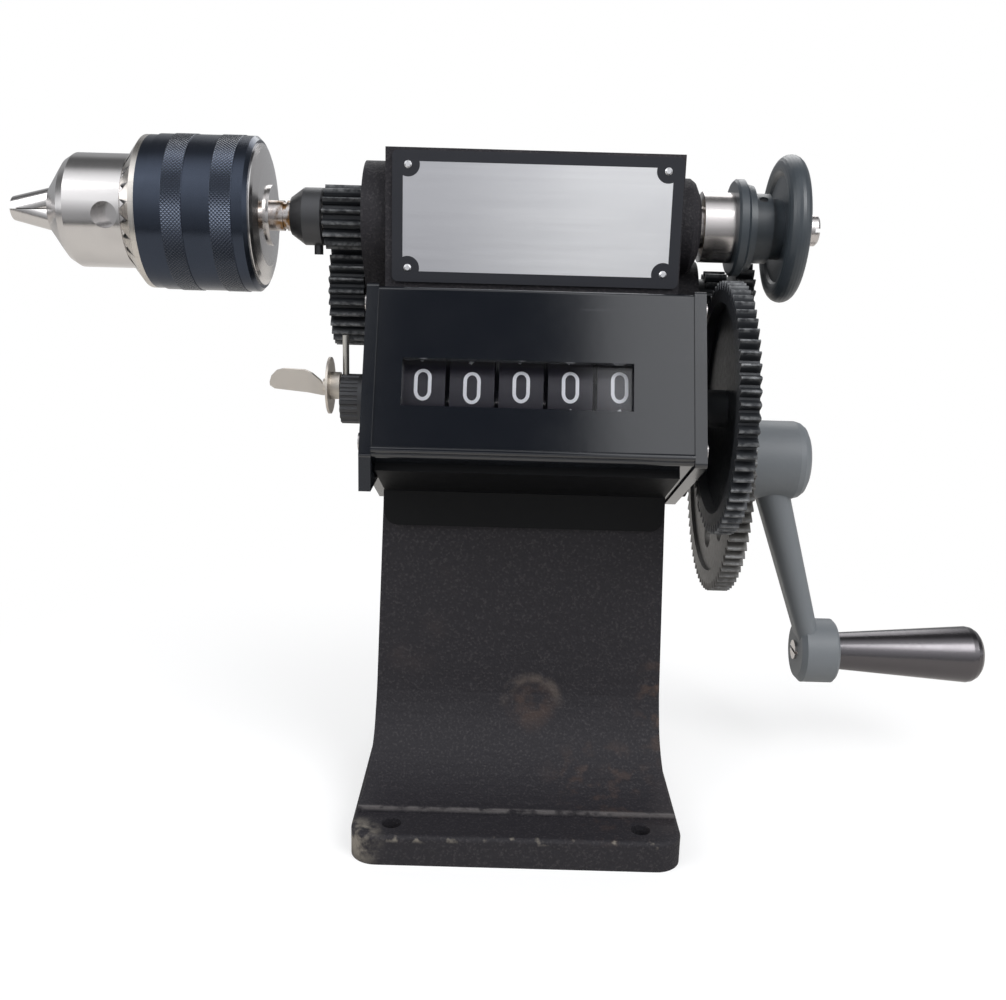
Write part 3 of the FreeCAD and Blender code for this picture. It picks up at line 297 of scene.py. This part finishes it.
worn_steel = (0.19, 0.195, 0.20)
black_steel = (0.024, 0.026, 0.030)
grey_steel = (0.080, 0.077, 0.073)
gear_plan = {
    "spindle_pinion": (black_steel, spindle_axis),
    "layshaft_gear": (black_steel, layshaft_axis),
    "counter_pinion": (black_steel, layshaft_axis),
    "crank_pinion": (black_steel, layshaft_axis),
    "counter_gear": (black_steel, counter_axis),
    "crank_gear": (grey_steel, crank_axis),
}
gear_looks = {}
for node, (colour, axis) in gear_plan.items():
    gear_looks[node] = gear_look("gear_" + node, colour, axis, radius_of(node), worn_steel)
print("gears:", sorted(gear_looks))

# %% [markdown]
# Turned steel shows rings left by the tool. The rings are a noise stretched
# flat across the shaft, so that it changes along X and hardly at all round it.

# %% Turned and ground metal
def turned_look(name, colour, rings, low, high, metallic=1.0, depth=0.000008):
    """Bright metal with tool rings across the shaft."""
    metal = Look(name, colour, low, metallic)
    ring = metal.noise(rings, 3.0, stretch=(1.0, 0.02, 0.02))
    smear = metal.noise(110.0, 3.0)
    metal.rough(ring, low, high)
    metal.bump(ring, depth, 0.5)
    dull = tuple(part * 0.7 for part in colour)
    metal.tint(metal.times(metal.band(smear, 0.45, 0.8), 0.25), dull)
    return metal


# colour, rings in waves per metre, least and most roughness
turned_plan = {
    "nickel": ((0.64, 0.62, 0.61), 2600.0, 0.15, 0.24),
    "bright_steel": ((0.58, 0.55, 0.54), 2200.0, 0.18, 0.30),
    "dark_steel": ((0.075, 0.076, 0.08), 1800.0, 0.34, 0.52, 0.8),
    "rivet": ((0.85, 0.85, 0.87), 900.0, 0.30, 0.40),
    "bronze": ((0.35, 0.24, 0.12), 1500.0, 0.35, 0.5),
    "grip_metal": ((0.120, 0.114, 0.120), 700.0, 0.18, 0.28),
    "wire_steel": ((0.60, 0.58, 0.53), 1500.0, 0.3, 0.45),
    "key_nickel": ((0.66, 0.61, 0.55), 500.0, 0.38, 0.50),
}
for name, values in turned_plan.items():
    looks[name] = turned_look(name, *values)
print("turned metals:", len(turned_plan))

# %% [markdown]
# The sleeve of the chuck is blued and rolled with two bands of diamond
# knurling. Two sets of helical grooves cross: each is a triangle wave over the
# way round plus or minus the way along, and the lower of the two waves is the
# height. The wave count is whole, so the pattern closes round the sleeve. The
# rolled points have lost their blue and shine. The grooves between them are
# painted darker, a painted shade in the recesses.

# %% Blued and knurled sleeve
knurl_count = 132
knurl_bands = ((-94.8 * MM, -89.4 * MM), (-82.4 * MM, -76.8 * MM))
band_edge = 0.2 * MM
sleeve = turned_look("blued_steel", (0.046, 0.056, 0.078), 900.0, 0.20, 0.28, 0.9)
sleeve_radius = radius_of("chuck_sleeve")
along, side, height = sleeve.parts(sleeve.place(about=spindle_axis))
around = sleeve.times(sleeve.math("ARCTAN2", height, side), sleeve_radius)
pitch = 2 * math.pi * sleeve_radius / knurl_count
waves = []
for sign in (1.0, -1.0):
    phase = sleeve.math("ADD", around, sleeve.times(along, sign))
    wave = sleeve.math("PINGPONG", sleeve.math("DIVIDE", phase, pitch), 0.5)
    waves.append(sleeve.times(wave, 2.0))
diamonds = sleeve.math("MINIMUM", *waves)
masks = []
for start, end in knurl_bands:
    rise = sleeve.band(along, start, start + band_edge)
    masks.append(sleeve.times(rise, sleeve.band(along, end, end - band_edge)))
knurled = sleeve.math("ADD", *masks)
tips = sleeve.band(diamonds, 0.45, 0.85)
groove_shade = sleeve.band(diamonds, 0.35, 0.0)
sleeve.tint(sleeve.times(knurled, tips, 0.6), (0.12, 0.13, 0.15))
# painted shade: the knurl grooves are darkened
sleeve.tint(sleeve.times(knurled, groove_shade, 0.6), (0.015, 0.018, 0.026))
sleeve.bump(sleeve.times(diamonds, knurled), 0.00022, 0.9)
looks["blued_steel"] = sleeve
print("knurl pitch", round(pitch / MM, 3), "mm")

# %% [markdown]
# The gaps between the teeth of the key ring are painted dark: painted shade in
# the recesses. A gap is widest at the front edge and closes towards the sleeve,
# so the painted shade of each tooth pitch narrows along the ring. The arbor
# behind the chuck has one rusty patch.

# %% Key ring and arbor
ring_teeth = 26
ring_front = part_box("chuck_gear_ring")[0].x
gap_end = -102.5 * MM
ring = turned_look("ring_steel", (0.62, 0.59, 0.55), 2600.0, 0.22, 0.34)
along, side, height = ring.parts(ring.place(about=spindle_axis))
teeth = ring.times(ring.math("ARCTAN2", height, side), ring_teeth / (2 * math.pi))
gap = ring.times(ring.math("PINGPONG", teeth, 0.5), 2.0)
narrowing = ring.spread(ring.band(along, ring_front, gap_end), 0.45, 1.0)
# painted shade in the gaps between the teeth
gap_shade = ring.band(ring.math("SUBTRACT", gap, narrowing), -0.05, 0.10)
ring.tint(gap_shade, (0.02, 0.02, 0.022))
arbor = turned_look("arbor_steel", (0.58, 0.55, 0.54), 2200.0, 0.18, 0.30)
patch = arbor.reach((-66.5 * MM, 0.0, 0.0), (1.0, 0.0, 0.0))
stain = arbor.band(patch, 4.5 * MM, 1.5 * MM)
speckle = arbor.band(arbor.noise(420.0, 4.0), 0.35, 0.6)
arbor.tint(arbor.times(stain, speckle), (0.20, 0.11, 0.045))
own_looks = {**gear_looks, "chuck_gear_ring": ring, "chuck_arbor": arbor}
print("finishes of their own:", len(own_looks))

# %% [markdown]
# Painted and moulded pieces are smoother. The counter's case is a gloss black
# moulding with fine scratches, the wheel is gloss enamel, and the crank has a
# thick mid-grey paint with a slight orange peel.

# %% Paint and plastic
def coated_look(name, colour, low, high, peel, distance, **constants):
    """A coat over metal or a moulding: soft waves and small changes of gloss."""
    coat = Look(name, colour, low, 0.0, **constants)
    waves = coat.noise(peel, 3.0)
    coat.rough(coat.noise(90.0, 5.0), low, high)
    coat.bump(waves, distance, 0.4)
    return coat


# colour, least and most roughness, peel in waves per metre, depth of the peel
coat_plan = {
    "case": ((0.0060, 0.0072, 0.0100), 0.07, 0.15, 260.0, 0.000012),
    "wheel_black": ((0.036, 0.044, 0.052), 0.30, 0.44, 420.0, 0.00005),
    "crank_paint": ((0.135, 0.147, 0.158), 0.40, 0.58, 600.0, 0.00012),
    # bracket: its black paint made darker still, a painted shade under the counter's case
    "bracket": ((0.0035, 0.0038, 0.0045), 0.42, 0.60, 700.0, 0.00008),
    "drum": ((0.024, 0.022, 0.030), 0.35, 0.5, 500.0, 0.00002),
    "plate_border": ((0.010, 0.011, 0.016), 0.30, 0.45, 800.0, 0.00002),
    "figure_white": ((0.97, 0.98, 1.0), 0.4, 0.55, 700.0, 0.00002),
}
sheen = {"case": 0.95, "bracket": 0.15}
for name, values in coat_plan.items():
    looks[name] = coated_look(name, *values, Specular_IOR_Level=sheen.get(name, 0.5))
case = looks["case"]
scratch = case.noise(260.0, 6.0, stretch=(0.12, 1.0, 3.0))
case.tint(case.band(scratch, 0.68, 0.82), (0.022, 0.023, 0.028))
print("coats:", len(coat_plan))

# %% [markdown]
# The name plate is bare metal, brushed along its length. The hairs are a noise
# stretched along X, and the plate is painted darker towards its left end: a
# painted shade for the dimmer reflection there.

# %% Brushed name plate
look = Look("plate", (0.95, 0.95, 0.96), 0.34, 1.0, Anisotropic=0.5)
hairs = look.noise(900.0, 4.0, stretch=(0.03, 1.0, 1.0))
cloud = look.noise(60.0, 4.0, stretch=(0.6, 1.0, 1.0))
left_painted_shade = look.band(look.parts(look.place())[0], 20.0 * MM, -30.0 * MM)
look.tint(look.times(look.band(cloud, 0.4, 0.75), 0.3), (0.75, 0.75, 0.78))
# painted shade: the left end is darkened to stand in for a dimmer reflection
look.tint(look.times(left_painted_shade, 0.8), (0.52, 0.52, 0.55))
look.rough(hairs, 0.30, 0.46)
look.bump(hairs, 0.00002, 0.6)
looks["plate"] = look
print("plate done")

# %% [markdown]
# The window is a thin clear pane. Seen almost square it lets the figures
# through and only carries a faint sheen, so it is mixed from clear and glossy
# by the Fresnel factor.

# %% Clear pane
pane = bpy.data.materials.new("pane")
pane.use_nodes = True
tree = pane.node_tree
tree.nodes.remove(tree.nodes["Principled BSDF"])
clear = tree.nodes.new("ShaderNodeBsdfTransparent")
clear.inputs["Color"].default_value = (0.99, 0.99, 1.0, 1.0)
gloss = tree.nodes.new("ShaderNodeBsdfGlossy")
gloss.inputs["Roughness"].default_value = 0.06
fresnel = tree.nodes.new("ShaderNodeFresnel")
fresnel.inputs["IOR"].default_value = 1.50
mix = tree.nodes.new("ShaderNodeMixShader")
tree.links.new(fresnel.outputs["Fac"], mix.inputs["Fac"])
tree.links.new(clear.outputs["BSDF"], mix.inputs[1])
tree.links.new(gloss.outputs["BSDF"], mix.inputs[2])
tree.links.new(mix.outputs["Shader"], tree.nodes["Material Output"].inputs["Surface"])
materials = {name: look.material for name, look in looks.items()}
materials["pane"] = pane
print("materials:", len(materials))

# %% [markdown]
# Each node of the part names its material slot, so the finishes go on by that
# name. Gears, the key ring and the arbor have a finish of their own.

# %% Put the finishes on
for name, node in nodes.items():
    for slot in node.material_slots:
        old = slot.material.name.split(".")[0]
        new = own_looks[name].material if name in own_looks else materials.get(old)
        if new is None:
            print("no finish for", old, "on", name)
            continue
        slot.link = "OBJECT"
        slot.material = new
print("finishes on")

# %% [markdown]
# Added pieces are built as meshes from points and faces. A helper makes the
# object, gives it its finish and lets it ride on its body.

# %% A helper for added pieces
def add_piece(name, points, faces, finish, body, smooth=False):
    """A mesh object in the part's frame that rides on a body."""
    mesh = bpy.data.meshes.new(name)
    mesh.from_pydata([tuple(point) for point in points], [], faces)
    mesh.validate()
    mesh.polygons.foreach_set("use_smooth", [smooth] * len(mesh.polygons))
    mesh.materials.append(materials[finish])
    piece = bpy.data.objects.new(name, mesh)
    bpy.context.scene.collection.objects.link(piece)
    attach(piece, body)
    return piece


print("helper ready")

# %% [markdown]
# The name plate is bare metal inside a printed black frame. The print widens to
# a quarter disc round each rivet. The frame is a ring between an outer and an
# inner outline, a few hundredths of a millimetre proud of the plate.

# %% Printed frame of the name plate
plate_low, plate_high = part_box("nameplate")
border_proud = 0.04 * MM
border_width = 2.7 * MM
border_corner = 1.5 * MM
rivet_inset = (4.0 * MM, 3.5 * MM)
disc_radius = 3.0 * MM
corner_steps = 16


def arc(centre, radius, start, end, steps):
    """Points on an arc, angles in degrees."""
    turn = [math.radians(start + (end - start) * step / steps) for step in range(steps + 1)]
    return [(centre[0] + radius * math.cos(a), centre[1] + radius * math.sin(a)) for a in turn]


def corner_outlines():
    """One corner, outer and inner edge, measured inwards from the plate's own corner."""
    outer = arc((border_corner, border_corner), border_corner, 180.0, 270.0, corner_steps)
    short_x = border_width - rivet_inset[0]
    short_z = border_width - rivet_inset[1]
    first = 180.0 - math.degrees(math.acos(-short_x / disc_radius))
    last = math.degrees(math.asin(short_z / disc_radius))
    return outer, arc(rivet_inset, disc_radius, first, last, corner_steps)


def plate_frame():
    """The outer and the inner outline of the whole print, with matching points."""
    outer_corner, inner_corner = corner_outlines()
    outer = []
    inner = []
    corners = (
        (plate_low.x, plate_high.z, 1, -1),
        (plate_high.x, plate_high.z, -1, -1),
        (plate_high.x, plate_low.z, -1, 1),
        (plate_low.x, plate_low.z, 1, 1),
    )
    for index, (x, z, way_x, way_z) in enumerate(corners):
        for line, local in ((outer, outer_corner), (inner, inner_corner)):
            placed = [(x + way_x * across, z + way_z * down) for across, down in local]
            line += placed if index % 2 == 0 else placed[::-1]
    return outer, inner


outer, inner = plate_frame()
count = len(outer)
points = []
for depth in (-border_proud, 0.2 * border_proud):
    for line in (outer, inner):
        points += [(x, plate_low.y + depth, z) for x, z in line]
faces = []
for a in range(count):
    b = (a + 1) % count
    faces.append((a, b, count + b, count + a))
    faces.append((a, 2 * count + a, 2 * count + b, b))
    faces.append((count + a, count + b, 3 * count + b, 3 * count + a))
add_piece("plate_border", points, faces, "plate_border", "frame")
print("border points:", len(points))

# %% [markdown]
# Each number wheel carries its ten figures round its rim. A figure is drawn as
# a path in a unit box, the path is cut into short steps, since a long chord
# would sink below the round rim, and a ribbon of constant width follows it. The
# wheels never stop quite in line, so each row has its own small turn.

# %% Counter figures
figure_width = 4.4 * MM
figure_height = 8.4 * MM
stroke = 0.9 * MM
inner_width = figure_width - stroke
inner_height = figure_height - stroke
ink_proud = 0.05 * MM
figure_pitch = math.radians(36.0)
path_step = 0.4 * MM


def ellipse(cx, cy, rx, ry, start, end, steps=20):
    """Points on an ellipse, angles in degrees."""
    turn = [math.radians(start + (end - start) * step / steps) for step in range(steps + 1)]
    return [(cx + rx * math.cos(a), cy + ry * math.sin(a)) for a in turn]


zero = (
    ellipse(0.0, 0.22, 0.5, 0.28, 0, 180)
    + ellipse(0.0, -0.22, 0.5, 0.28, 180, 360)
    + [(0.5, 0.22)]
)
figures = {
    0: [zero],
    1: [[(-0.25, 0.28), (0.05, 0.5), (0.05, -0.5)]],
    2: [ellipse(0.0, 0.22, 0.45, 0.28, 170, -40) + [(-0.45, -0.5), (0.5, -0.5)]],
    3: [ellipse(0.0, 0.25, 0.42, 0.25, 150, -90), ellipse(0.0, -0.25, 0.47, 0.25, 90, -150)],
    4: [[(0.22, -0.5), (0.22, 0.5), (-0.48, -0.22), (0.5, -0.22)]],
    5: [[(0.42, 0.5), (-0.38, 0.5), (-0.42, 0.06)] + ellipse(0.0, -0.18, 0.47, 0.32, 130, -150)],
    6: [[(0.3, 0.5), (-0.2, 0.2)] + ellipse(0.0, -0.2, 0.47, 0.30, 150, -210)],
    7: [[(-0.45, 0.5), (0.48, 0.5), (-0.1, -0.5)]],
    8: [ellipse(0.0, 0.26, 0.38, 0.24, 0, 360), ellipse(0.0, -0.24, 0.48, 0.26, 0, 360)],
    9: [[(-0.2, -0.4), (0.25, -0.1)] + ellipse(0.0, 0.2, 0.47, 0.30, -30, 330)],
}


def short_steps(path):
    """The same path with no step longer than path_step."""
    result = [Vector(path[0])]
    for point in path[1:]:
        start = result[-1]
        ahead = Vector(point) - start
        count = max(1, math.ceil(ahead.length / path_step))
        result += [start + ahead * (step + 1) / count for step in range(count)]
    return result


def ribbon(path, width):
    """The left and right edge of a stroke that follows a path."""
    left = []
    right = []
    closed = (Vector(path[0]) - Vector(path[-1])).length < 1e-9
    for index, point in enumerate(path):
        before = path[index - 1] if index else (path[-2] if closed else point)
        after = path[index + 1] if index + 1 < len(path) else (path[1] if closed else point)
        ahead = Vector(after) - Vector(point)
        behind = Vector(point) - Vector(before)
        along = (ahead.normalized() + behind.normalized()).normalized()
        side = Vector((-along.y, along.x))
        left.append(Vector(point) + side * width / 2)
        right.append(Vector(point) - side * width / 2)
    return left, right


def wheel_figures(name, wheel, body, lift):
    """All ten figures of a wheel on its rim; lift is how far the wheel stands off zero."""
    middle = Vector((centre_x(wheel), counter_axis.y, counter_axis.z))
    points = []
    faces = []
    for figure, paths in figures.items():
        for path in paths:
            sized = short_steps([(x * inner_width, y * inner_height) for x, y in path])
            edges = ribbon(sized, stroke)
            start = len(points)
            for pair in zip(*edges):
                for height in (ink_proud, -ink_proud):
                    for flat in pair:
                        turn = face_tilt + lift + flat.y / drum_radius - figure * figure_pitch
                        reach = drum_radius + height
                        around = (-reach * math.cos(turn), reach * math.sin(turn))
                        points.append(middle + Vector((flat.x, *around)))
            for step in range(len(sized) - 1):
                a = start + 4 * step
                b = a + 4
                faces += [(a, a + 1, b + 1, b), (a, b, b + 2, a + 2), (a + 1, a + 3, b + 3, b + 1)]
            faces += [(start, start + 2, start + 3, start + 1)]
            last = start + 4 * (len(sized) - 1)
            faces += [(last, last + 1, last + 3, last + 2)]
    return add_piece(name, points, faces, "figure_white", body)


wheel_plan = (
    ("wheel_units", "counter_shaft", 0.040),
    ("wheel_tens", "tens", 0.018),
    ("wheel_hundreds", "hundreds", 0.0),
    ("wheel_thousands", "thousands", -0.036),
    ("wheel_ten_thousands", "ten_thousands", 0.0),
)
for wheel, body, lift in wheel_plan:
    wheel_figures(wheel.replace("wheel", "figures"), wheel, body, lift)
print("figures on", len(wheel_plan), "wheels")

# %% [markdown]
# The machine stands on a white surface. The floor is a real surface for
# shadows and for its pale reflection in the lower half of each shaft, and it
# fades to plain white away from the machine, so that no edge or horizon shows.
# It ends a little in front of the machine: beyond it the shafts see the dark
# edge of the table.

# %% Floor
scene = bpy.context.scene
scene.view_settings.view_transform = "Standard"
floor_mesh = bpy.data.meshes.new("floor")
reach = 1.5
front_y = -0.29
floor_mesh.from_pydata(
    [(-reach, front_y, 0.0), (reach, front_y, 0.0), (reach, reach, 0.0), (-reach, reach, 0.0)],
    [],
    [(0, 1, 2, 3)],
)
floor = bpy.data.objects.new("floor", floor_mesh)
scene.collection.objects.link(floor)
look = Look("floor", (1.0, 1.0, 1.0), 0.9, Specular_IOR_Level=0.0)
path = look.tree.nodes.new("ShaderNodeLightPath")
seen = path.outputs["Is Camera Ray"]
look.tint(look.math("SUBTRACT", 1.0, seen), (0.66, 0.635, 0.60))
white = look.tree.nodes.new("ShaderNodeEmission")
blend = look.tree.nodes.new("ShaderNodeMixShader")
fade = look.spread(look.band(look.reach((0.0, 0.0, 0.0)), 0.09, 0.26), 0.60, 1.0)
look.link(look.times(fade, seen), blend.inputs[0])
look.link(look.shader.outputs[0], blend.inputs[1])
look.link(white.outputs[0], blend.inputs[2])
look.link(blend.outputs[0], look.tree.nodes["Material Output"].inputs["Surface"])
floor.data.materials.append(look.material)
print("floor done")

# %% [markdown]
# Turned metal is only as good as what it mirrors. A shaft mirrors a ring of
# directions, from the floor in front, up behind the camera, over the top and
# down at the back, so the surroundings are drawn as brightness against that
# angle. The photograph's own bands set the numbers: a bright sky in front, a
# dark roof edge above, and a dim back. The person who holds the camera stands
# dark in the middle, which is why the left of the counter's case is black and
# its right end is grey.

# %% Surroundings
world = bpy.data.worlds.new("studio")
scene.world = world
world.use_nodes = True
sky = Nodes(world.node_tree)
background = sky.tree.nodes["Background"]
coords = sky.tree.nodes.new("ShaderNodeTexCoord")
x, y, z = sky.parts(coords.outputs["Generated"])
ahead = sky.times(y, -1.0)
rise = sky.math("ARCTAN2", z, ahead)
ramp = sky.tree.nodes.new("ShaderNodeValToRGB")
sky.link(sky.math("ADD", sky.math("DIVIDE", rise, 2 * math.pi), 0.5), ramp.inputs["Fac"])
# brightness by angle: -180 and 180 are level behind the machine, 0 level behind the camera
sky_plan = (
    (-180, 0.35), (-90, 0.35), (-40, 0.20), (-32, 0.05), (-26, 0.05),
    (-20, 0.35), (-6, 0.42), (8, 0.75), (24, 1.30), (66, 1.35),
    (80, 0.90), (94, 0.16), (122, 0.12), (138, 0.40), (180, 0.40),
)
ramp.color_ramp.elements[0].position = 0.0
ramp.color_ramp.elements[1].position = 1.0
for degrees, level in sky_plan:
    position = (degrees + 180) / 360
    if degrees == -180:
        stop = ramp.color_ramp.elements[0]
    elif degrees == 180:
        stop = ramp.color_ramp.elements[-1]
    else:
        stop = ramp.color_ramp.elements.new(position)
    stop.color = (level * 0.985, level, level * 1.03, 1.0)
sideways = sky.math("ARCTAN2", x, ahead)
person_sides = sky.times(
    sky.band(sideways, math.radians(-14.0), math.radians(-10.0)),
    sky.band(sideways, math.radians(8.0), math.radians(4.5)),
)
person_height = sky.times(
    sky.band(rise, math.radians(10.0), math.radians(18.0)),
    sky.band(rise, math.radians(76.0), math.radians(66.0)),
)
person = sky.tree.nodes.new("ShaderNodeMix")
person.data_type = "RGBA"
person.inputs["B"].default_value = (0.02, 0.022, 0.03, 1.0)
sky.link(sky.times(person_sides, person_height), person.inputs["Factor"])
sky.link(ramp.outputs["Color"], person.inputs["A"])
white = sky.tree.nodes.new("ShaderNodeMix")
white.data_type = "RGBA"
white.inputs["B"].default_value = (1.0, 1.0, 1.0, 1.0)
path = sky.tree.nodes.new("ShaderNodeLightPath")
sky.link(path.outputs["Is Camera Ray"], white.inputs["Factor"])
sky.link(person.outputs["Result"], white.inputs["A"])
sky.link(white.outputs["Result"], background.inputs["Color"])
print("surroundings done")

# %% [markdown]
# Three soft lamps at a plain level give the dull pieces their shape: one high
# on the right as in the photograph, a weaker one on the left, and one behind.

# %% Lamps
def add_lamp(name, place, target, size, power, colour=(1.0, 1.0, 1.0)):
    """A square area lamp that faces a point."""
    lamp = bpy.data.lights.new(name, "AREA")
    lamp.size = size
    lamp.energy = power
    lamp.color = colour
    holder = bpy.data.objects.new(name, lamp)
    holder.location = place
    aim = Vector(target) - Vector(place)
    holder.rotation_euler = aim.to_track_quat("-Z", "Y").to_euler()
    scene.collection.objects.link(holder)
    return holder


add_lamp("key", (0.60, -0.70, 0.90), (0.0, 0.0, 0.12), 0.6, 7.0)
add_lamp("fill", (-0.75, -0.45, 0.70), (0.0, 0.0, 0.12), 0.6, 3.0)
add_lamp("back", (0.1, 0.9, 0.9), (0.0, 0.0, 0.1), 0.8, 5.0)
print("lamps done")

# %% [markdown]
# The photograph looks slightly down at the machine from a hand's height above
# the counter, with the picture turned a little. The place, the lens and the turn
# were found from straight edges and circles of known size.

# %% Camera
pitch = math.radians(14.0)
roll = math.radians(1.6)
right = Vector((1.0, 0.0, 0.0))
up = Vector((0.0, math.sin(pitch), math.cos(pitch)))
forward = Vector((0.0, math.cos(pitch), -math.sin(pitch)))
camera_x = right * math.cos(roll) + up * math.sin(roll)
camera_y = up * math.cos(roll) - right * math.sin(roll)
camera_data = bpy.data.cameras.new("camera")
camera_data.sensor_width = 36.0
camera_data.lens = 39.364
camera_data.clip_start = 0.01
camera = bpy.data.objects.new("camera", camera_data)
turned = Matrix((camera_x, camera_y, -forward)).transposed().to_4x4()
camera.matrix_world = Matrix.Translation((-0.0059, -0.3044, 0.164)) @ turned
scene.collection.objects.link(camera)
scene.camera = camera
print("camera at", tuple(round(part, 4) for part in camera.location))
